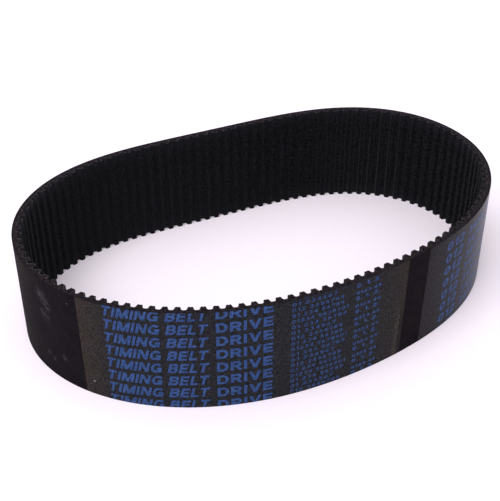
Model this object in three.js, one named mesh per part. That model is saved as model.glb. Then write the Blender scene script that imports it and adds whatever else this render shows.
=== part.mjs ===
// A synchronous (timing) belt: an endless toothed belt standing on its cut edge, in millimetres, +Z up.
// Every layer follows one closed path, the pitch line, which is the line of the belt's tensile cords.
// The origin is under the middle of the loop, on the surface that the belt stands on, and +X runs along
// the loop's long axis. Depths are measured from the pitch line: positive towards the smooth back of the
// belt, on the outside of the loop, and negative towards its teeth, on the inside.

import * as THREE from 'three';

// Driving dimensions.
const PITCH = 3; // from one tooth to the next, along the pitch line
const TEETH = 115;
const WIDTH = 30; // of the belt, which is the height of the loop as it stands
const BACK = 0.8; // pitch line to the smooth back
const CORD_RADIUS = 0.17; // of one tensile cord
const ROOT = 0.4; // pitch line to the land between two teeth
const TOOTH_HEIGHT = 1.17; // land to tooth tip
const TOOTH_HALF_WIDTH = 0.92; // at the land
const FACING = 0.18; // thickness of the fabric over the teeth and lands
const FIRST_TOOTH = 0.69; // centre of the first tooth, along the pitch line from its start
const FILM = 0.05; // thickness of a label film, which is pressed flush into the back
const FILM_LENGTH = 84.3;
const FILM_A_START = 21; // along the pitch line, from its start at the -X end
const FILM_B_START = 112.4;

const LENGTH = PITCH * TEETH; // of the pitch line, once round
const TURN = 2 * Math.PI;
const RADIAN = Math.PI / 180;

// Half of a tooth's outline, from the land to the tip, in shares of its half width and of its height.
const TOOTH_OUTLINE = [
  { across: 1, up: 0 },
  { across: 0.87, up: 0.66 },
  { across: 0.52, up: 1 },
];

// The pitch line is given by its heading. It makes one counter-clockwise turn from the loop's -X end,
// and these swings about that even turn, each so many times a lap, squeeze the circle into an oval
// that is a little flatter on one side. Angles are in degrees.
const START_HEADING = -88.46;
const SWINGS = [
  { perLap: 2, size: 20.32, phase: 2.7 },
  { perLap: 3, size: 4.32, phase: 107.6 },
  { perLap: 4, size: 1.06, phase: 145.4 },
  { perLap: 5, size: 0.36, phase: -36.5 },
];

// Steps that the pitch line is integrated in, and the rounds that close it.
const STEPS = 48 * TEETH;
const CLOSING_ROUNDS = 60;

const COLOURS = {
  backing: 0x1e1b1f,
  cord: 0x8f8a78,
  toothRubber: 0x1a181b,
  facing: 0x141317,
  film: 0x35302f,
};

// Heading in radians at a share of the way round. once is the swing that comes once a lap.
function headingAt(share, once) {
  let heading = START_HEADING * RADIAN + TURN * share;
  for (const swing of SWINGS) {
    heading += swing.size * RADIAN * Math.sin(TURN * swing.perLap * share + swing.phase * RADIAN);
  }
  return heading + once.sine * Math.sin(TURN * share) + once.cosine * Math.cos(TURN * share);
}

// The path's points, one after each step, for a given once-a-lap swing.
function walk(once) {
  const points = [new THREE.Vector2(0, 0)];
  for (let i = 0; i < STEPS; i++) {
    const heading = headingAt((i + 0.5) / STEPS, once);
    const step = new THREE.Vector2(Math.cos(heading), Math.sin(heading)).multiplyScalar(LENGTH / STEPS);
    points.push(points[i].clone().add(step));
  }
  return points;
}

// The once-a-lap swing shifts the path's end without bending the oval, so it is what closes the loop.
// The path starts out along -Y, so its cosine moves the end along X and its sine along Y.
function closePath() {
  const once = { sine: 0, cosine: 0 };
  for (let round = 0; round < CLOSING_ROUNDS; round++) {
    const gap = walk(once)[STEPS].divideScalar(LENGTH);
    once.cosine -= gap.x;
    once.sine -= gap.y;
  }
  return once;
}

const once = closePath();
const path = walk(once);

// The point at a distance along the pitch line and a depth from it.
function pointAt(along, depth) {
  const turns = along / LENGTH;
  const share = turns - Math.floor(turns);
  const step = Math.floor(share * STEPS);
  const point = path[step].clone().lerp(path[step + 1], share * STEPS - step);
  const heading = headingAt(share, once);
  return point.add(new THREE.Vector2(Math.sin(heading), -Math.cos(heading)).multiplyScalar(depth));
}

// Two stations to a tooth are enough for the layers with no teeth on them.
function stationsBetween(from, to) {
  const gap = PITCH / 2;
  const stations = [];
  for (let i = Math.ceil((from - FIRST_TOOTH) / gap); FIRST_TOOTH + i * gap < to; i++) {
    stations.push(FIRST_TOOTH + i * gap);
  }
  return stations;
}

// A smooth closed line at one depth.
function smoothLine(depth) {
  return stationsBetween(0, LENGTH).map((along) => pointAt(along, depth));
}

// A stretch of smooth line, with its two ends exactly where they are asked for.
function stretch(from, to, depth) {
  return [from, ...stationsBetween(from, to), to].map((along) => pointAt(along, depth));
}

// A closed line that follows the teeth. land is its depth between teeth, and halfWidth a tooth's there.
function toothedLine(land, halfWidth) {
  const line = [];
  for (let tooth = 0; tooth < TEETH; tooth++) {
    const centre = FIRST_TOOTH + tooth * PITCH;
    const rising = TOOTH_OUTLINE.map((p) => [centre - p.across * halfWidth, land - p.up * TOOTH_HEIGHT]);
    const falling = TOOTH_OUTLINE.map((p) => [centre + p.across * halfWidth, land - p.up * TOOTH_HEIGHT]);
    line.push(...[...rising, ...falling.reverse()].map(([along, depth]) => pointAt(along, depth)));
  }
  return line;
}

// The belt's back, stepped down by a film's thickness where the two label films lie.
function backLine() {
  const filmEnds = [
    [FILM_A_START, FILM_A_START + FILM_LENGTH],
    [FILM_B_START, FILM_B_START + FILM_LENGTH],
  ];
  const line = [];
  let bareFrom = 0;
  for (const [from, to] of filmEnds) {
    line.push(...stationsBetween(bareFrom, from).map((along) => pointAt(along, BACK)));
    line.push(pointAt(from, BACK), ...stretch(from, to, BACK - FILM), pointAt(to, BACK));
    bareFrom = to;
  }
  line.push(...stationsBetween(bareFrom, LENGTH).map((along) => pointAt(along, BACK)));
  return line;
}

// The belt is cut square from a wide sleeve, so every layer is an outline extruded over its width.
function layer(name, outside, inside, colour, roughness) {
  const shape = new THREE.Shape(outside);
  if (inside) {
    shape.holes.push(new THREE.Path(inside));
  }
  const geometry = new THREE.ExtrudeGeometry(shape, { depth: WIDTH, bevelEnabled: false });
  const material = new THREE.MeshStandardMaterial({ color: colour, roughness, metalness: 0 });
  const mesh = new THREE.Mesh(geometry, material);
  mesh.name = name;
  return mesh;
}

// A label film fills the shallow step in the back.
function labelFilm(name, start) {
  const end = start + FILM_LENGTH;
  const outline = [...stretch(start, end, BACK), ...stretch(start, end, BACK - FILM).reverse()];
  return layer(name, outline, null, COLOURS.film, 0.75);
}

const cordOutside = smoothLine(CORD_RADIUS);
const cordInside = smoothLine(-CORD_RADIUS);
const facingOutside = toothedLine(FACING - ROOT, TOOTH_HALF_WIDTH - FACING);
const facingInside = toothedLine(-ROOT, TOOTH_HALF_WIDTH);

const belt = new THREE.Group();
belt.add(
  layer('backing', backLine(), cordOutside, COLOURS.backing, 0.6),
  layer('tensile_cord_ply', cordOutside, cordInside, COLOURS.cord, 0.8),
  layer('tooth_rubber', cordInside, facingOutside, COLOURS.toothRubber, 0.6),
  layer('tooth_facing', facingOutside, facingInside, COLOURS.facing, 0.85),
  labelFilm('label_film_a', FILM_A_START),
  labelFilm('label_film_b', FILM_B_START),
);

const middle = new THREE.Box2().setFromPoints(smoothLine(BACK)).getCenter(new THREE.Vector2());
belt.position.set(-middle.x, -middle.y, 0);

export default belt;
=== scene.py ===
"""A timing belt standing on its cut edge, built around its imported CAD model.

Lengths are millimetres until a mesh is made. A place on the belt is given by how far along the pitch line
it is, its depth from that line (positive towards the smooth back, on the outside of the loop, and
negative towards the teeth) and its height above the floor.
"""

import math

import bmesh
import bpy
import numpy as np
from mathutils import Matrix, Vector
from mathutils.geometry import delaunay_2d_cdt


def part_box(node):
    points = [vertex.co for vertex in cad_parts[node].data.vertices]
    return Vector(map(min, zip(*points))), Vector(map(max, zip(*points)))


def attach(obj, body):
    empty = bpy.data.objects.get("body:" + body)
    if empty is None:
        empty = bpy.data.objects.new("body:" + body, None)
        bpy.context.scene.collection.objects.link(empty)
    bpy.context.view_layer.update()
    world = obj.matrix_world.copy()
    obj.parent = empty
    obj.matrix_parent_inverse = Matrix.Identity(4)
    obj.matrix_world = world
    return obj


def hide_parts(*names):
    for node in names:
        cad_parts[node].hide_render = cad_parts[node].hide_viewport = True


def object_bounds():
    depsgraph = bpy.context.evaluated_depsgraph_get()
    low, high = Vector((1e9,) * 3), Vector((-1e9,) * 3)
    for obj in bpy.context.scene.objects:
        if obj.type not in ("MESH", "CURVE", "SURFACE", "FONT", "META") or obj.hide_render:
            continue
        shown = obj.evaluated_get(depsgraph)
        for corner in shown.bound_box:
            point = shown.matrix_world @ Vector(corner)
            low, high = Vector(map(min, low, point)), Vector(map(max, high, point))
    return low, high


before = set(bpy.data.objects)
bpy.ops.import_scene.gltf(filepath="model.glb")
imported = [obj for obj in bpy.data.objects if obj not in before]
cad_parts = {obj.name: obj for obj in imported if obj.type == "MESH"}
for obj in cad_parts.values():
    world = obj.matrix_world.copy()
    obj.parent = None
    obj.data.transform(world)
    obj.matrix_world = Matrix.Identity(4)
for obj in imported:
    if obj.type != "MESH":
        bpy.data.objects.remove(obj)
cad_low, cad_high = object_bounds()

# ---------------------------------------------------------------- dimensions, as in the CAD source

MM = 0.001
TURN = 2 * math.pi
PITCH = 3.0
TEETH = 115
LENGTH = PITCH * TEETH
BACK = 0.8
ROOT = 0.4
TOOTH_HEIGHT = 1.17
FACING = 0.18
CORD_RADIUS = 0.17
FIRST_TOOTH = 0.69
FILM_LENGTH = 84.3
FILM_A_START = 21.0
FILM_B_START = 112.4
WIDTH = (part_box("backing")[1].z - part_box("backing")[0].z) / MM

# The pitch line makes one even turn with these swings about it: times a lap, size and phase in degrees.
START_HEADING = -88.46
SWINGS = [(2, 20.32, 2.7), (3, 4.32, 107.6), (4, 1.06, 145.4), (5, 0.36, -36.5)]
STEPS = 48 * TEETH  # that the path is integrated in
CLOSING_ROUNDS = 60

# Only the visual model has these.
SEAM = -100.0  # where the back's pattern starts and ends, along the pitch line: on its plain far side
CORNER = 0.04  # the bevel that catches light along a cut edge
TOOTH_BASE = 0.94  # half width where a flank, carried on, would meet the land
TOOTH_TIP = 0.6  # half width where it would meet the tip
TIP_RADIUS = 0.25
ROOT_RADIUS = 0.4
GROOVE = 0.24  # half width of the shallow groove along a tooth's tip
GROOVE_DEPTH = 0.08
GROOVE_RADIUS = 0.12
FILM_PROUD = 0.012  # how far a film stands out of the rubber
FILM_SUNK = 0.03  # how far a film goes into the rubber
FILM_EDGE = CORNER + 0.01  # how far a film stops short of the belt's edges
INK_PROUD = 0.015  # how far the ink stands out of a film
CORD_SPACING = 0.6  # between one cord and the next, across the belt
CORD_PROUD = 0.002  # how far a cord's cut end stands out of the upper edge
SHARP_ANGLE = 35  # degrees: an edge that turns more than this is shaded as a sharp one


# ---------------------------------------------------------------- the pitch line

def heading(share, once):
    """The path's direction at a share of the way round. once is the swing that comes once a lap."""
    angle = math.radians(START_HEADING) + TURN * share
    for per_lap, size, phase in SWINGS:
        angle = angle + math.radians(size) * np.sin(TURN * per_lap * share + math.radians(phase))
    return angle + once[0] * np.sin(TURN * share) + once[1] * np.cos(TURN * share)


def walk(once):
    """The path's points, one after each step."""
    angle = heading((np.arange(STEPS) + 0.5) / STEPS, once)
    steps = np.column_stack([np.cos(angle), np.sin(angle)]) * LENGTH / STEPS
    return np.vstack([[0.0, 0.0], np.cumsum(steps, axis=0)])


def close_path():
    """The once-a-lap swing that brings the path back to its start."""
    once = np.zeros(2)
    for _ in range(CLOSING_ROUNDS):
        once -= walk(once)[-1][::-1] / LENGTH
    return once


ONCE = close_path()
PATH = walk(ONCE)
MARKS = np.arange(STEPS + 1) / STEPS


def from_path_start(along, depth):
    """x and y of places on the belt, from the start of the path."""
    share = np.mod(along / LENGTH, 1.0)
    angle = heading(share, ONCE)
    x = np.interp(share, MARKS, PATH[:, 0]) + depth * np.sin(angle)
    y = np.interp(share, MARKS, PATH[:, 1]) - depth * np.cos(angle)
    return x, y


def middle_of_back():
    """The point that goes to the middle of the CAD model."""
    x, y = from_path_start(MARKS * LENGTH, BACK)
    cad_middle = (cad_low + cad_high) / 2 / MM
    return (x.min() + x.max()) / 2 - cad_middle.x, (y.min() + y.max()) / 2 - cad_middle.y


MIDDLE = middle_of_back()


def place(along, depth):
    """x and y of places on the belt, in the CAD model's frame."""
    x, y = from_path_start(along, depth)
    return x - MIDDLE[0], y - MIDDLE[1]


# ---------------------------------------------------------------- meshes

def finish_piece(obj, materials, replaced=()):
    """Shading, materials and the piece's place in the frame."""
    obj.data.polygons.foreach_set("use_smooth", [True] * len(obj.data.polygons))
    obj.data.set_sharp_from_angle(angle=math.radians(SHARP_ANGLE))
    for material in materials:
        obj.data.materials.append(material)
    if replaced:
        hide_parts(*replaced)
    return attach(obj, "root")


def sweep(name, along, depth, height, unrolled=None, closed=True, cut_strips=()):
    """A solid whose section is swept along the belt.

    along, depth and height are arrays with a row for each station and a column for each corner of the
    section, which goes up the back, over the top edge and down the toothed side. unrolled is the
    distance to lay the material's pattern out by, and cut_strips are the section's sides that are cut
    faces, which wear the second material and are laid out by depth instead of by height.
    """
    stations, corners = along.shape
    x, y = place(along, depth)
    vertices = np.dstack([x, y, height]).reshape(-1, 3) * MM
    laid = along if unrolled is None else unrolled
    lap = laid[-1, 0] + laid[1, 0] - 2 * laid[0, 0]  # the last span round is as long as the first
    spans = stations if closed else stations - 1
    i = np.repeat(np.arange(spans), corners)
    k = np.tile(np.arange(corners), spans)
    next_i, next_k = (i + 1) % stations, (k + 1) % corners
    quad = [(i, k), (next_i, k), (next_i, next_k), (i, next_k)]
    face_list = np.column_stack([station * corners + corner for station, corner in quad]).tolist()
    u = np.column_stack([laid[spot] for spot in quad])
    u[:, 1:3] += np.where(next_i < i, lap, 0.0)[:, None]
    up, deep = (np.column_stack([rows[spot] for spot in quad]) for rows in (height, depth))
    v = np.where(np.isin(k, cut_strips)[:, None], deep, up)
    u, v = u.ravel(), v.ravel()
    if not closed:
        last = (stations - 1) * corners
        face_list.append(list(range(corners)))
        face_list.append(list(range(last + corners - 1, last - 1, -1)))
        u = np.concatenate([u, laid[0], laid[-1][::-1]])
        v = np.concatenate([v, height[0], height[-1][::-1]])
    mesh = bpy.data.meshes.new(name)
    mesh.from_pydata(vertices.tolist(), [], face_list)
    mesh.attributes.new("laid", "FLOAT_VECTOR", "CORNER")
    mesh.attributes["laid"].data.foreach_set("vector", np.column_stack([u, v, 0 * u]).ravel())
    for strip in cut_strips:
        for face in np.nonzero(k == strip)[0]:
            mesh.polygons[face].material_index = 1
    obj = bpy.data.objects.new(name, mesh)
    bpy.context.scene.collection.objects.link(obj)
    return obj


def rounded(corners, radii, steps):
    """The line from the first corner towards the last, with each corner between them rounded to its radius.

    The last corner is left off, so that such lines can follow each other.
    """
    corners = [Vector(c) for c in corners]
    line = [corners[0]]
    for before, at, after, radius in zip(corners, corners[1:], corners[2:], radii):
        into, out = (at - before).normalized(), (after - at).normalized()
        turn = into.angle_signed(out)  # clockwise is positive
        start = at - into * radius * math.tan(abs(turn) / 2)
        side = math.copysign(radius, turn)
        centre = start + Vector((into.y, -into.x)) * side
        for step in range(steps + 1):
            arm = start - centre
            arm.rotate(Matrix.Rotation(-turn * step / steps, 2))
            line.append(centre + arm)
    return np.array(line)


def tooth_line():
    """One pitch of the fabric's face: across the belt's length, and up from the land towards the tip."""
    left = [(-PITCH / 2, 0), (-TOOTH_BASE, 0), (-TOOTH_TIP, TOOTH_HEIGHT), (-GROOVE, TOOTH_HEIGHT)]
    right = [(-across, up) for across, up in reversed(left)]
    corners = left + [(0, TOOTH_HEIGHT - GROOVE_DEPTH)] + right
    radii = [ROOT_RADIUS, TIP_RADIUS, GROOVE_RADIUS, GROOVE_RADIUS, GROOVE_RADIUS, TIP_RADIUS, ROOT_RADIUS]
    return rounded(corners, radii, steps=4)


def toothed_lines():
    """Along and depth of the fabric's face, the same of its glued side, and the length of cloth so far."""
    tooth = tooth_line()
    along = np.concatenate([tooth[:, 0] + FIRST_TOOTH + PITCH * n for n in range(TEETH)])
    up = np.tile(tooth[:, 1], TEETH)
    points = np.column_stack([along, up])
    ahead = np.roll(points, -1, axis=0) - np.roll(points, 1, axis=0)
    ahead[0, 0] += LENGTH
    ahead[-1, 0] += LENGTH
    ahead /= np.linalg.norm(ahead, axis=1)[:, None]
    glued_along = along + FACING * ahead[:, 1]
    glued_up = up - FACING * ahead[:, 0]
    cloth = np.concatenate([[0], np.cumsum(np.hypot(np.diff(along), np.diff(up)))])
    return along, -ROOT - up, glued_along, -ROOT - glued_up, cloth


# ---------------------------------------------------------------- node trees

class Nodes:
    """A short way to write a material's node tree."""

    def __init__(self, name):
        self.material = bpy.data.materials.new(name)
        self.material.use_nodes = True
        self.tree = self.material.node_tree
        self.shader = self.tree.nodes["Principled BSDF"]

    def add(self, kind, inputs=(), **settings):
        node = self.tree.nodes.new("ShaderNode" + kind)
        for key, value in settings.items():
            setattr(node, key, value)
        for socket, value in dict(inputs).items():
            self.set(node.inputs[socket], value)
        return node

    def set(self, socket, value):
        if isinstance(value, bpy.types.NodeSocket):
            self.tree.links.new(value, socket)
        else:
            socket.default_value = value

    def maths(self, operation, a, b=0.0, clamp=False):
        node = self.add("Math", operation=operation, use_clamp=clamp)
        self.set(node.inputs[0], a)
        self.set(node.inputs[1], b)
        return node.outputs[0]

    def times(self, a, b, clamp=False):
        return self.maths("MULTIPLY", a, b, clamp)

    def mix(self, share, a, b):
        node = self.add("Mix", data_type="RGBA")
        self.set(node.inputs["Factor"], share)
        self.set(node.inputs[6], a)
        self.set(node.inputs[7], b)
        return node.outputs[2]

    def scale(self, tint, factor):
        return self.add("VectorMath", {0: tint, "Scale": factor}, operation="SCALE").outputs["Vector"]

    def between(self, value, low, high, to_low=0.0, to_high=1.0):
        """A value's place between low and high, clamped, as a value between to_low and to_high."""
        return self.add("MapRange", {"Value": value, "From Min": low, "From Max": high,
                                     "To Min": to_low, "To Max": to_high}).outputs[0]

    def object_mm(self):
        """Object coordinates in millimetres."""
        place_node = self.add("TexCoord").outputs["Object"]
        return self.add("Mapping", {"Vector": place_node, "Scale": (1 / MM,) * 3}).outputs[0]

    def laid(self, size=(1, 1), turn=0.0):
        """The unrolled layer's own coordinates, along it and up it, for a pattern stretched to this size.

        The stretched pattern is then turned anticlockwise by this angle.
        """
        spot = self.add("Attribute", attribute_name="laid").outputs["Vector"]
        mapping = self.add("Mapping", {"Vector": spot, "Scale": (*size, 1), "Rotation": (0, 0, turn)},
                           vector_type="TEXTURE")
        return mapping.outputs[0]

    def noise(self, vector, scale, detail=2.0, roughness=0.5):
        return self.add("TexNoise", {"Vector": vector, "Scale": scale, "Detail": detail,
                                     "Roughness": roughness}).outputs["Fac"]

    def grains(self, vector, scale, low, high, detail=2.0, roughness=0.5):
        """Noise as 0 wherever it is under low, and as 1 wherever it is over high."""
        return self.between(self.noise(vector, scale, detail, roughness), low, high)

    def near(self, spot, reach):
        """1 at a place on the unrolled layer, falling to 0 this many millimetres from it."""
        away = self.add("VectorMath", {0: self.laid(), 1: (*spot, 0)}, operation="DISTANCE")
        return self.between(away.outputs["Value"], 0.0, reach, 1.0, 0.0)

    def bump(self, height, depth_mm):
        """Bump of a height from 0 to 1, so many millimetres deep."""
        node = self.add("Bump", {"Height": height, "Distance": depth_mm * MM})
        self.set(self.shader.inputs["Normal"], node.outputs[0])

    def look(self, **values):
        """Sets the shader's sockets, each named with underscores for its spaces."""
        for socket, value in values.items():
            self.set(self.shader.inputs[socket.replace("_", " ")], value)


def colour(red, green, blue):
    return (red, green, blue, 1.0)


# ---------------------------------------------------------------- materials

# Marks on the unrolled back, each as its distances along the belt and up it, and how far it reaches.
SCUFFS = [
    ((8.2, 25.1), 2.2),
    ((9.6, 24.2), 2.7),
    ((10.9, 22.2), 2.1),
    ((8.4, 20.0), 1.0),
    ((9.7, 18.7), 2.2),
    ((9.4, 6.5), 1.1),
    ((10.9, 5.9), 1.2),
    ((15.0, 8.0), 1.3),
]
STAIN = ((0.5, 27.5), 8.0)
RUBBER_FLECK = ((18.2, 26.8), 0.3)
FILM_FLECK = ((23.7, 4.4), 0.26)
SCUFF_LEAN = -46  # degrees, from along the belt

# Where the fabric's painted light changes along the loop, each from one tooth to another, counted along the
# pitch line.
# where the painted light and shade on the teeth grows stronger
PAINTED_LIGHT_TEETH = (66, 76)
# where a painted lift of light comes in, standing in for glare and sheen at a grazing view
PAINTED_LIFT_TEETH = (75, 105)
# where the painted pale flank moves from before each tip to after it
PAINTED_FLANK_TURN_TEETH = (92, 106)
WARP_SPACING = 0.35  # between threads, along the belt
WEFT_SPACING = 0.62  # between threads, across it

# The films' worn ends. Each is a pair of colours that mix in patches.
BROWN_AND_OLIVE = ((0.0260, 0.0178, 0.0185), (0.0240, 0.0195, 0.0150))
KHAKI_AND_UMBER = ((0.0182, 0.0148, 0.0114), (0.0198, 0.0134, 0.0140))
MAUVE_AND_SLATE = ((0.0132, 0.0094, 0.0130), (0.0118, 0.0098, 0.0130))


def rubber_back():
    """Ground chloroprene: near black and finely grained, with scuffs, a stain and a fleck of lint."""
    n = Nodes("rubber_back")
    spot = n.object_mm()
    grain = n.grains(spot, 1.3, 0.38, 0.62, detail=3.0, roughness=0.7)
    cloudy = n.grains(spot, 0.25, 0.35, 0.7, detail=3.0)
    base = n.mix(grain, colour(0.0022, 0.0014, 0.0026), colour(0.0090, 0.0068, 0.0096))
    base = n.mix(n.times(cloudy, 0.6), base, colour(0.0090, 0.0073, 0.0092))
    stained = n.times(n.maths("POWER", n.near(*STAIN), 1.5), n.between(grain, -0.5, 1.0))
    base = n.mix(stained, base, colour(0.0135, 0.0116, 0.0091))
    leaning = n.laid((1.8, 0.8), math.radians(SCUFF_LEAN))
    streaks = n.grains(leaning, 1.0, 0.42, 0.6, detail=4.0, roughness=0.7)
    streaks = n.times(streaks, n.between(grain, 0.0, 1.0, 0.3, 1.0))
    for middle, reach in SCUFFS:
        scuffed = n.times(n.times(n.near(middle, reach), streaks), 1.6, clamp=True)
        base = n.mix(scuffed, base, colour(0.044, 0.040, 0.046))
    base = n.mix(n.near(*RUBBER_FLECK), base, colour(0.080, 0.085, 0.095))
    n.look(Base_Color=base, Roughness=n.between(grain, 0.0, 1.0, 0.62, 0.75), Specular_IOR_Level=0.022)
    n.bump(grain, 0.04)
    return n.material


def rubber_cut():
    """The knife's face: dull, mottled and a little purple, with fine scores along the belt, and pale specks
    that are partly lint and partly painted glints.
    """
    n = Nodes("rubber_cut")
    scores = n.noise(n.laid((2.0, 0.11)), 1.4, 3.0, 0.7)
    grain = n.grains(n.object_mm(), 1.5, 0.42, 0.58, detail=3.0, roughness=0.7)
    # pale specks: partly lint, partly painted glints along the rim
    fluff_and_glints = n.grains(n.object_mm(), 2.6, 0.58, 0.68, roughness=0.6)
    base = n.mix(grain, colour(0.0042, 0.0033, 0.0044), colour(0.0185, 0.0143, 0.0180))
    base = n.mix(n.times(fluff_and_glints, 0.6), base, colour(0.056, 0.047, 0.054))
    n.look(Base_Color=base, Roughness=0.8, Specular_IOR_Level=0.02)
    n.bump(n.maths("ADD", scores, grain), 0.015)
    return n.material


def painted_tooth_light(n, teeth_passed):
    """What to scale the fabric's colour by: painted light and shade, so that each tooth has one flank
    painted pale as if lit, and its tip and other flank painted dark as if shaded.
    """
    # The painted pale flank is the one before the tip up to the teeth where it changes sides, and the one
    # after it past them.
    painted_pale_flank = n.between(teeth_passed, *PAINTED_FLANK_TURN_TEETH, 0.88, 1.17)
    share = n.maths("FRACT", n.maths("ADD", teeth_passed, painted_pale_flank))
    from_darkest = n.maths("ABSOLUTE", n.maths("SUBTRACT", share, 0.5))
    # how strong the painted light and shade on the flanks are
    contrast = n.between(teeth_passed, *PAINTED_LIGHT_TEETH, 0.16, 0.38)
    darkest, palest = n.maths("SUBTRACT", 1.0, contrast), n.maths("ADD", 1.0, contrast)
    return n.between(from_darkest, 0.12, 0.36, darkest, palest)


def facing_cloth(tooth_length):
    """Black woven nylon soaked in rubber, with lint, and with painted light and shade on the teeth and
    towards one end.

    The lint is along both edges of the belt. One flank of each tooth is painted pale as if lit, and the tip
    and other flank dark as if shaded. Towards one end of the loop the cloth is painted paler, a painted
    lift of light that stands in for glare and sheen at a grazing view. tooth_length is the length of cloth
    that goes over one tooth.
    """
    n = Nodes("facing_cloth")
    axes = n.add("SeparateXYZ", {"Vector": n.laid()})
    along, height = axes.outputs["X"], axes.outputs["Y"]
    warp = n.maths("SINE", n.times(along, TURN / WARP_SPACING))
    weft = n.maths("SINE", n.times(height, TURN / WEFT_SPACING))
    weave = n.between(n.maths("ADD", weft, n.times(warp, 0.5)), -1.5, 1.5)
    fibres = n.grains(n.laid((1.0, 0.8)), 1.1, 0.43, 0.57, detail=3.0, roughness=0.7)
    thread = n.maths("ADD", n.times(weave, 0.2), n.times(fibres, 0.8))
    teeth_passed = n.maths("DIVIDE", along, tooth_length)
    base = n.mix(thread, colour(0.0013, 0.0013, 0.0018), colour(0.0132, 0.0127, 0.0163))
    # painted light: the cloth is made paler towards one end of the loop, standing in for glare and sheen at
    # a grazing view
    painted_lift = n.between(teeth_passed, *PAINTED_LIFT_TEETH, 0.0, 0.42)
    base = n.mix(painted_lift, base, colour(0.0125, 0.0119, 0.0150))
    from_edge = n.maths("MINIMUM", height, n.maths("SUBTRACT", WIDTH, height))
    lint = n.between(from_edge, 0.0, 4.5, 0.33, 0.0)
    base = n.mix(lint, base, colour(0.0200, 0.0190, 0.0240))
    # painted light and shade over each tooth: one flank pale as if lit, the other dark as if shaded
    base = n.scale(base, painted_tooth_light(n, teeth_passed))
    n.look(Base_Color=base, Roughness=n.between(weave, 0.0, 1.0, 0.85, 0.65))
    n.look(Specular_IOR_Level=0.02, Sheen_Weight=0.05, Sheen_Roughness=0.4)
    n.bump(n.maths("ADD", weave, n.times(fibres, 0.4)), 0.03)
    return n.material


def facing_cut():
    """The fabric's cut edge, where pale fibre ends show through the rubber, their specks also standing in
    as painted glints along the rim.
    """
    n = Nodes("facing_cut")
    # pale specks: partly fibre ends, partly painted glints along the rim
    ends = n.grains(n.object_mm(), 2.0, 0.48, 0.56, roughness=0.7)
    base = n.mix(ends, colour(0.0064, 0.0050, 0.0066), colour(0.084, 0.069, 0.080))
    n.look(Base_Color=base, Roughness=0.85, Specular_IOR_Level=0.02)
    n.bump(ends, 0.03)
    return n.material


def label_film(name, start, first_end, last_end):
    """A thin transfer, dark and finely speckled, worn to these two pairs of colours at its two ends.

    The lower corner of the last end is rubbed away, with a pale ragged fringe.
    """
    n = Nodes(name)
    spot = n.object_mm()
    axes = n.add("SeparateXYZ", {"Vector": n.laid()})
    into = n.maths("SUBTRACT", axes.outputs["X"], start)
    to_go = n.maths("SUBTRACT", FILM_LENGTH, into)
    speckle = n.grains(spot, 2.4, 0.40, 0.60, roughness=0.75)
    base = n.mix(speckle, colour(0.0062, 0.0070, 0.0090), colour(0.0220, 0.0230, 0.0275))

    mottling = n.times(n.noise(spot, 0.5, 3.0, 0.6), 6.0)
    patches = n.grains(spot, 0.16, 0.42, 0.58)
    contrast = n.between(speckle, 0.0, 1.0, 0.5, 1.5)
    for distance, (one, other) in ((into, first_end), (to_go, last_end)):
        worn = n.between(n.maths("ADD", distance, mottling), 3.0, 13.0, 1.0, 0.0)
        base = n.mix(worn, base, n.scale(n.mix(patches, colour(*one), colour(*other)), contrast))

    lower = n.between(axes.outputs["Y"], 15.5, 12.5)
    ragged = n.maths("ADD", to_go, n.times(n.noise(spot, 1.3, 2.0, 0.7), 2.4))
    fringe = n.between(n.maths("ABSOLUTE", n.maths("SUBTRACT", ragged, 3.3)), 0.0, 0.9, 1.0, 0.0)
    fringe = n.times(n.times(fringe, lower), n.between(speckle, 0.3, 0.9))
    base = n.mix(fringe, base, colour(0.062, 0.057, 0.046))
    rubbed = n.times(n.between(ragged, 2.9, 2.4), lower)
    base = n.mix(n.times(rubbed, 0.75), base, colour(0.007, 0.0058, 0.0068))
    base = n.mix(n.near(*FILM_FLECK), base, colour(0.45, 0.45, 0.45))

    n.look(Base_Color=base, Roughness=n.between(speckle, 0.0, 1.0, 0.2, 0.3), Specular_IOR_Level=0.034)
    n.bump(speckle, 0.008)
    return n.material


def label_ink():
    """Blue ink, a little uneven where it sank in."""
    n = Nodes("label_ink")
    body = n.grains(n.object_mm(), 1.8, 0.36, 0.64, detail=3.0, roughness=0.7)
    base = n.mix(body, colour(0.016, 0.036, 0.110), colour(0.040, 0.082, 0.225))
    n.look(Base_Color=base, Roughness=0.3, Specular_IOR_Level=0.03)
    n.bump(body, 0.006)
    return n.material


def glass_cord(name, lean):
    """Glass fibre yarn in a dark bonding coat. lean is how many degrees its twist leans by."""
    n = Nodes(name)
    twist = n.add("TexWave", {"Vector": n.laid(turn=math.radians(lean)), "Scale": 2.0, "Distortion": 1.5})
    base = n.mix(twist.outputs["Fac"], colour(0.0045, 0.0038, 0.0044), colour(0.0170, 0.0142, 0.0150))
    n.look(Base_Color=base, Roughness=0.6, Specular_IOR_Level=0.05)
    n.bump(twist.outputs["Fac"], 0.02)
    return n.material


def paper():
    """The pale, slightly pink surface that the belt stands on."""
    n = Nodes("paper")
    fibre = n.noise(n.object_mm(), 0.6, 4.0, 0.6)
    base = n.mix(fibre, colour(0.88, 0.802, 0.89), colour(0.92, 0.838, 0.93))
    n.look(Base_Color=base, Roughness=0.9, Specular_IOR_Level=0.05)
    return n.material


# ---------------------------------------------------------------- the belt's layers

def make_backing(back_rubber, cut_rubber):
    count = 4 * TEETH
    along = SEAM + LENGTH * np.arange(count) / count
    section = [(BACK - CORNER, 0), (BACK, CORNER), (BACK, WIDTH - CORNER), (BACK - CORNER, WIDTH),
               (0, WIDTH), (0, 0)]
    depth, height = np.array(section).T
    obj = sweep("belt_backing", np.tile(along[:, None], len(section)), np.tile(depth, (count, 1)),
                np.tile(height, (count, 1)), cut_strips=(3, 5))
    return finish_piece(obj, [back_rubber, cut_rubber], ["backing"])


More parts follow.
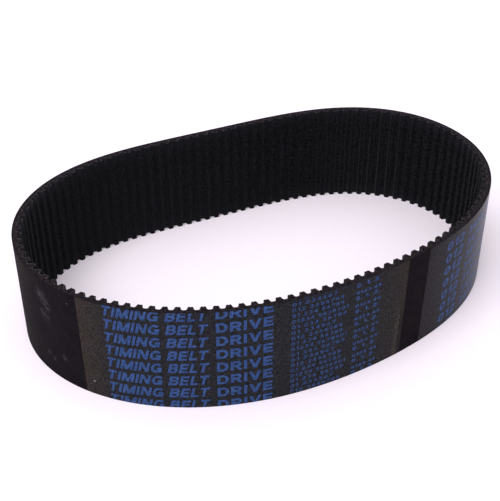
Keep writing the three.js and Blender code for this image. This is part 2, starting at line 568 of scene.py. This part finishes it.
def make_tooth_rubber(lines, back_rubber, cut_rubber):
    _, _, along, depth, _ = lines
    count = len(along)
    height = np.tile([0, WIDTH, WIDTH, 0], (count, 1))
    deep = np.column_stack([0 * depth, 0 * depth, depth, depth])
    obj = sweep("belt_tooth_rubber", np.tile(along[:, None], 4), deep, height, cut_strips=(1, 3))
    return finish_piece(obj, [back_rubber, cut_rubber], ["tooth_rubber"])


def make_facing(lines):
    along, depth, glued_along, glued_depth, cloth = lines
    count = len(along)
    places = np.column_stack([glued_along, glued_along, along, along, along, along])
    deep = np.column_stack([glued_depth, glued_depth, depth + CORNER, depth, depth, depth + CORNER])
    height = np.tile([0, WIDTH, WIDTH, WIDTH - CORNER, CORNER, 0], (count, 1))
    obj = sweep("belt_tooth_facing", places, deep, height, unrolled=np.tile(cloth[:, None], 6),
                cut_strips=(1, 5))
    tooth_length = cloth[count // TEETH]
    return finish_piece(obj, [facing_cloth(tooth_length), facing_cut()], ["tooth_facing"])


def make_film(name, start, leans, node, film_material):
    """leans says how far each end's cut leans forward along the belt over the belt's width."""
    count = 120
    share = np.linspace(0, 1, count)[:, None]
    section = [(BACK + FILM_PROUD, FILM_EDGE), (BACK + FILM_PROUD, WIDTH - FILM_EDGE),
               (BACK - FILM_SUNK, WIDTH - FILM_EDGE), (BACK - FILM_SUNK, FILM_EDGE)]
    depth, height = np.array(section).T
    lean = leans[0] + share * (leans[1] - leans[0])
    along = start + share * FILM_LENGTH + lean * (height / WIDTH - 0.5)
    obj = sweep(name, along, np.tile(depth, (count, 1)), np.tile(height, (count, 1)), closed=False)
    return finish_piece(obj, [film_material], [node])


def make_cord(name, first_height, material):
    """One tensile cord: a helix up the pitch line, sliced by the two cut edges."""
    rise = 2 * CORD_SPACING
    sides, per_lap = 8, 3 * TEETH // 2
    laps = int(WIDTH / rise) + 2
    turn = np.arange(laps * per_lap + 1) / per_lap
    middle = first_height - rise + turn * rise
    around = TURN * np.arange(sides) / sides
    depth = np.tile(CORD_RADIUS * np.cos(around), (len(turn), 1))
    height = middle[:, None] + CORD_RADIUS * np.sin(around)
    along = np.tile((turn * LENGTH)[:, None], sides)
    obj = sweep(name, along, depth, height, closed=False)
    slice_off(obj.data, 0.0, WIDTH + CORD_PROUD)
    return finish_piece(obj, [material], ["tensile_cord_ply"])


def slice_off(mesh, low, high):
    """Cuts a mesh flat at these heights and closes the cuts."""
    solid = bmesh.new()
    solid.from_mesh(mesh)
    for level, direction in ((low, -1), (high, 1)):
        everything = solid.verts[:] + solid.edges[:] + solid.faces[:]
        bmesh.ops.bisect_plane(solid, geom=everything, plane_co=(0, 0, level * MM),
                               plane_no=(0, 0, direction), clear_outer=True)
        open_edges = [e for e in solid.edges if e.is_boundary]
        bmesh.ops.holes_fill(solid, edges=open_edges)
    solid.to_mesh(mesh)
    solid.free()


# ---------------------------------------------------------------- the print

PEN = 0.2  # the width of a letter's strokes, in cap heights
LETTER_GAP = 0.17  # between two letters, and SPACE for a space, both in cap heights
SPACE = 0.42
BEND_STEP = 1.0  # a line of print is divided at least this often, so that it can bend
PRINT_EDGE = CORNER + 0.03  # how far the print stops short of the belt's edges
TOUCHING = 1e-4  # points nearer than this are one point
SHARPEST_MITRE = 0.3  # limits how far a stroke's corner reaches out where the line turns sharply


def arc(x, y, across, up, first, last, steps=9):
    """Part of an ellipse about (x, y), between two angles in degrees."""
    angles = [math.radians(first + (last - first) * n / steps) for n in range(steps + 1)]
    return [(x + across * math.cos(a), y + up * math.sin(a)) for a in angles]


def ring(x, y, across, up):
    """A whole ellipse."""
    return arc(x, y, across, up, 0, 360, 18)


# Each letter is its width and its strokes' middle lines, in cap heights. Strokes that run out past the
# cap height or the baseline are cut off there.
LETTERS = {
    "B": (0.74, [[(0.1, 0), (0.1, 1)],
                 [(0.1, 0.9), (0.42, 0.9), *arc(0.42, 0.71, 0.2, 0.19, 80, -80),
                  (0.42, 0.52), (0.1, 0.52)],
                 [(0.1, 0.52), (0.44, 0.52), *arc(0.44, 0.31, 0.22, 0.21, 80, -80),
                  (0.44, 0.1), (0.1, 0.1)]]),
    "D": (0.8, [[(0.1, 0), (0.1, 1)],
                [(0.1, 0.9), (0.34, 0.9), *arc(0.34, 0.5, 0.36, 0.4, 80, -80),
                 (0.34, 0.1), (0.1, 0.1)]]),
    "E": (0.7, [[(0.1, 0), (0.1, 1)], [(0.1, 0.9), (0.68, 0.9)], [(0.1, 0.5), (0.64, 0.5)],
                [(0.1, 0.1), (0.7, 0.1)]]),
    "G": (0.86, [arc(0.45, 0.5, 0.35, 0.4, 40, 330, 16), [(0.48, 0.43), (0.78, 0.43), (0.78, 0.02)]]),
    "I": (0.2, [[(0.1, 0), (0.1, 1)]]),
    "L": (0.52, [[(0.1, 0), (0.1, 1)], [(0.1, 0.1), (0.62, 0.1)]]),
    "M": (1.0, [[(0.1, 0), (0.1, 1)], [(0.9, 0), (0.9, 1)], [(0.09, 1.1), (0.5, 0.06), (0.91, 1.1)]]),
    "N": (0.84, [[(0.1, 0), (0.1, 1)], [(0.74, 0), (0.74, 1)], [(0.05, 1.1), (0.79, -0.1)]]),
    "R": (0.78, [[(0.1, 0), (0.1, 1)],
                 [(0.1, 0.9), (0.44, 0.9), *arc(0.44, 0.69, 0.21, 0.21, 80, -80),
                  (0.44, 0.48), (0.1, 0.48)],
                 [(0.38, 0.52), (0.74, -0.1)]]),
    "T": (0.76, [[(0, 0.9), (0.76, 0.9)], [(0.38, 0), (0.38, 1)]]),
    "V": (0.86, [[(0.06, 1.1), (0.43, 0.04), (0.8, 1.1)]]),
    "0": (0.66, [ring(0.33, 0.5, 0.23, 0.4)]),
    "1": (0.44, [[(0.32, 0), (0.32, 1)], [(0.04, 0.68), (0.32, 0.9)]]),
    "2": (0.66, [[*arc(0.33, 0.66, 0.22, 0.24, 170, -30), (0.1, 0.1), (0.64, 0.1)]]),
    "3": (0.66, [arc(0.32, 0.7, 0.2, 0.2, 150, -90), arc(0.32, 0.3, 0.23, 0.2, 90, -150)]),
    "4": (0.7, [[(0.48, 0), (0.48, 1)], [(0.48, 0.92), (0.12, 0.32), (0.7, 0.32)]]),
    "5": (0.66, [[(0.58, 0.9), (0.2, 0.9), (0.16, 0.48)], arc(0.32, 0.34, 0.23, 0.24, 140, -150)]),
    "6": (0.66, [ring(0.33, 0.32, 0.22, 0.22), arc(0.55, 0.32, 0.44, 0.6, 180, 95)]),
    "7": (0.62, [[(0, 0.9), (0.54, 0.9), (0.2, -0.1)]]),
    "8": (0.66, [ring(0.33, 0.71, 0.19, 0.19), ring(0.33, 0.31, 0.22, 0.21)]),
    "9": (0.66, [ring(0.33, 0.68, 0.22, 0.22), arc(0.11, 0.68, 0.44, 0.6, 0, -85)]),
    ".": (0.2, [[(0, 0.1), (0.2, 0.1)]]),
}


def thicken(line, pen):
    """The quads that a pen this wide covers along a line, mitred where it turns."""
    line = [Vector(p) for p in line]
    ahead = [(b - a).normalized() for a, b in zip(line, line[1:])]
    is_ring = (line[0] - line[-1]).length < TOUCHING
    first_before, last_after = (ahead[-1], ahead[0]) if is_ring else (ahead[0], ahead[-1])
    sides = []
    for point, before, after in zip(line, [first_before] + ahead, ahead + [last_after]):
        across = (before + after).normalized()
        across = Vector((-across.y, across.x))
        reach = pen / 2 / max(across.dot(Vector((-after.y, after.x))), SHARPEST_MITRE)
        sides.append((point + across * reach, point - across * reach))
    return [[a[0], a[1], b[1], b[0]] for a, b in zip(sides, sides[1:])]


def clip(polygon, low, high):
    """The part of a polygon between two heights."""
    for level, sign in ((low, 1), (high, -1)):
        kept = []
        for a, b in zip(polygon, polygon[1:] + polygon[:1]):
            inside_a, inside_b = sign * (a.y - level), sign * (b.y - level)
            if inside_a >= 0:
                kept.append(a)
            if inside_a * inside_b < 0:
                kept.append(a.lerp(b, inside_a / (inside_a - inside_b)))
        polygon = kept
    return polygon


def line_of_letters(text, pen):
    """A line of text as overlapping polygons in cap heights, and its length."""
    polygons = []
    x = 0.0
    for character in text:
        if character == " ":
            x += SPACE
            continue
        width, strokes = LETTERS[character]
        for stroke in strokes:
            for quad in thicken(stroke, pen):
                polygons.append([p + Vector((x, 0)) for p in clip(quad, 0, 1)])
        x += width + LETTER_GAP
    return polygons, x - LETTER_GAP


def lay_line(polygons, length, block, baseline):
    """One line of a block as triangles with no overlaps: points along the belt and up it, and faces."""
    laid = []
    for polygon in polygons:
        points = []
        for p in polygon:
            across = p.x * block["width"] / length
            along = block["start"] + across + block["slant"] * p.y * block["height"]
            points.append(Vector((along, baseline + p.y * block["height"] + block["climb"] * across)))
        points = clip(points, PRINT_EDGE, WIDTH - PRINT_EDGE)
        if len(points) > 2:
            laid.append(points)
    corners = [p for points in laid for p in points]
    if not corners:
        return corners, []
    ends = np.cumsum([0] + [len(points) for points in laid]).tolist()
    faces = [list(range(a, b)) for a, b in zip(ends, ends[1:])]
    edges = []
    for bend in np.arange(min(p.x for p in corners), max(p.x for p in corners), BEND_STEP)[1:]:
        edges.append((len(corners), len(corners) + 1))
        corners += [Vector((bend, 0)), Vector((bend, WIDTH))]
    points, _, triangles, _, _, sources = delaunay_2d_cdt(corners, edges, faces, 1, TOUCHING)
    return points, [t for t, source in zip(triangles, sources) if source]


def raise_line(points, triangles, vertices, faces):
    """Adds a laid line to a mesh's lists as a thin solid, bent onto the belt's back."""
    used = sorted({n for triangle in triangles for n in triangle})
    place_of = {n: i for i, n in enumerate(used)}
    first, count = len(vertices), len(used)
    along = np.array([points[n].x for n in used])
    height = np.array([points[n].y for n in used])
    for depth in (BACK + FILM_PROUD + INK_PROUD, BACK):
        vertices += np.column_stack([*place(along, depth), height]).tolist()
    edges = set()
    for triangle in triangles:
        top = [first + place_of[n] for n in triangle]
        faces.append(top)
        faces.append([n + count for n in reversed(top)])
        edges.update(zip(top, top[1:] + top[:1]))
    faces += [[b, a, a + count, b + count] for a, b in sorted(edges) if (b, a) not in edges]


def make_print(name, blocks, material):
    """Blocks of print in one piece."""
    vertices, faces = [], []
    for block in blocks:
        polygons, length = line_of_letters(block["text"], block["pen"])
        for baseline in np.arange(block["top"], -block["height"], -block["spacing"]):
            points, triangles = lay_line(polygons, length, block, baseline)
            if triangles:
                raise_line(points, triangles, vertices, faces)
    mesh = bpy.data.meshes.new(name)
    mesh.from_pydata((np.array(vertices) * MM).tolist(), [], faces)
    obj = bpy.data.objects.new(name, mesh)
    bpy.context.scene.collection.objects.link(obj)
    return finish_piece(obj, [material])


def print_block(text, start, width, height, top, spacing, slant=0.0, climb=0.0, pen=PEN):
    """One line of print, from start along the belt, repeated down it from its top baseline.

    slant leans the letters, and climb raises the line along the belt.
    """
    return {"text": text, "start": start, "width": width, "height": height, "top": top,
            "spacing": spacing, "slant": slant, "climb": climb, "pen": pen}


SMALL_STEP = 1.73  # from one line of the small print to the next
SMALL_TOP = 29.81
# The small print's lines and their lengths, from the top down. They repeat down the belt.
SMALL_LINES = [
    ("01 234 56789", 14.6),
    ("01 234567", 11.7),
    ("012 3456789", 13.7),
    ("01 234 56789", 13.8),
    ("01234 5678901", 15.1),
]
WORDS = [
    print_block("TIMING BELT", 27.4, 24.6, 2.95, 26.95, 4.0, slant=0.22, climb=0.028, pen=0.23),
    print_block("DRIVE", 54.4, 13.5, 2.85, 27.85, 4.09, climb=0.004, pen=0.23),
]
SMALL_PRINT = [
    print_block(text, 72.4, width, 1.1, SMALL_TOP - SMALL_STEP * line, SMALL_STEP * len(SMALL_LINES),
                pen=0.15)
    for line, (text, width) in enumerate(SMALL_LINES)
] + [
    print_block("0. 1. 2.", 89.5, 7.0, 1.15, 28.05, 4.0, pen=0.22),
    print_block("0123 45", 89.5, 7.4, 0.85, 25.9, 4.0, pen=0.24),
]
NUMBERS = [
    print_block("012", 119.6, 7.6, 2.7, 25.3, 3.92, slant=0.2, climb=0.018),
    print_block("3456 789", 129.7, 18.0, 2.5, 25.3, 3.9, climb=0.018),
]


# ---------------------------------------------------------------- camera, floor and light

FLOOR_REACH = 4.0  # metres, each way from the belt


def make_camera():
    """The camera stands in front of the loop's flatter side, to the left, and looks down at it."""
    data = bpy.data.cameras.new("camera")
    data.lens = 74.36
    data.sensor_width = 36
    data.clip_start, data.clip_end = 0.01, 20
    camera = bpy.data.objects.new("camera", data)
    camera.location = Vector((-98.6, -206.1, 181.2)) * MM
    azimuth, down, roll = math.radians(-24.41), math.radians(36.3), math.radians(-0.14)
    turned = Matrix.Rotation(azimuth, 3, "Z") @ Matrix.Rotation(math.pi / 2 - down, 3, "X")
    camera.rotation_euler = (turned @ Matrix.Rotation(roll, 3, "Z")).to_euler()
    bpy.context.scene.collection.objects.link(camera)
    bpy.context.scene.camera = camera


def make_floor():
    mesh = bpy.data.meshes.new("floor")
    corners = [(x * FLOOR_REACH, y * FLOOR_REACH, 0) for x, y in ((-1, -1), (1, -1), (1, 1), (-1, 1))]
    mesh.from_pydata(corners, [], [(0, 1, 2, 3)])
    floor = bpy.data.objects.new("floor", mesh)
    floor.location.z = cad_low.z
    mesh.materials.append(paper())
    bpy.context.scene.collection.objects.link(floor)


def area_light(name, azimuth, elevation, distance, size, power):
    """A soft light at this bearing round the belt, in degrees: 0 is in front, and it grows to the right."""
    data = bpy.data.lights.new(name, "AREA")
    data.energy, data.size = power, size
    light = bpy.data.objects.new(name, data)
    a, e = math.radians(azimuth), math.radians(elevation)
    back = Vector((math.sin(a) * math.cos(e), -math.cos(a) * math.cos(e), math.sin(e)))
    light.location = back * distance
    light.rotation_euler = back.to_track_quat("Z", "Y").to_euler()
    bpy.context.scene.collection.objects.link(light)


def make_light():
    world = bpy.data.worlds.new("studio")
    world.use_nodes = True
    world.node_tree.nodes["Background"].inputs["Color"].default_value = colour(1.0, 1.0, 1.0)
    world.node_tree.nodes["Background"].inputs["Strength"].default_value = 0.98
    bpy.context.scene.world = world
    area_light("key", azimuth=-60, elevation=60, distance=0.9, size=0.6, power=5.1)
    bpy.context.scene.view_settings.view_transform = "Standard"


# ---------------------------------------------------------------- the scene

make_camera()

toothed = toothed_lines()
back_rubber, cut_rubber = rubber_back(), rubber_cut()
make_backing(back_rubber, cut_rubber)
make_tooth_rubber(toothed, back_rubber, cut_rubber)
make_facing(toothed)

film_a = label_film("label_film_a", FILM_A_START, BROWN_AND_OLIVE, KHAKI_AND_UMBER)
film_b = label_film("label_film_b", FILM_B_START, MAUVE_AND_SLATE, KHAKI_AND_UMBER)
make_film("film_a", FILM_A_START, (-0.4, 0.5), "label_film_a", film_a)
make_film("film_b", FILM_B_START, (0.9, 0.5), "label_film_b", film_b)

make_cord("tensile_cord_s", 0.0, glass_cord("cord_s", lean=30))
make_cord("tensile_cord_z", CORD_SPACING, glass_cord("cord_z", lean=-30))

ink = label_ink()
make_print("ink_words", WORDS, ink)
make_print("ink_small_print", SMALL_PRINT, ink)
make_print("ink_numbers", NUMBERS, ink)

make_floor()
make_light()
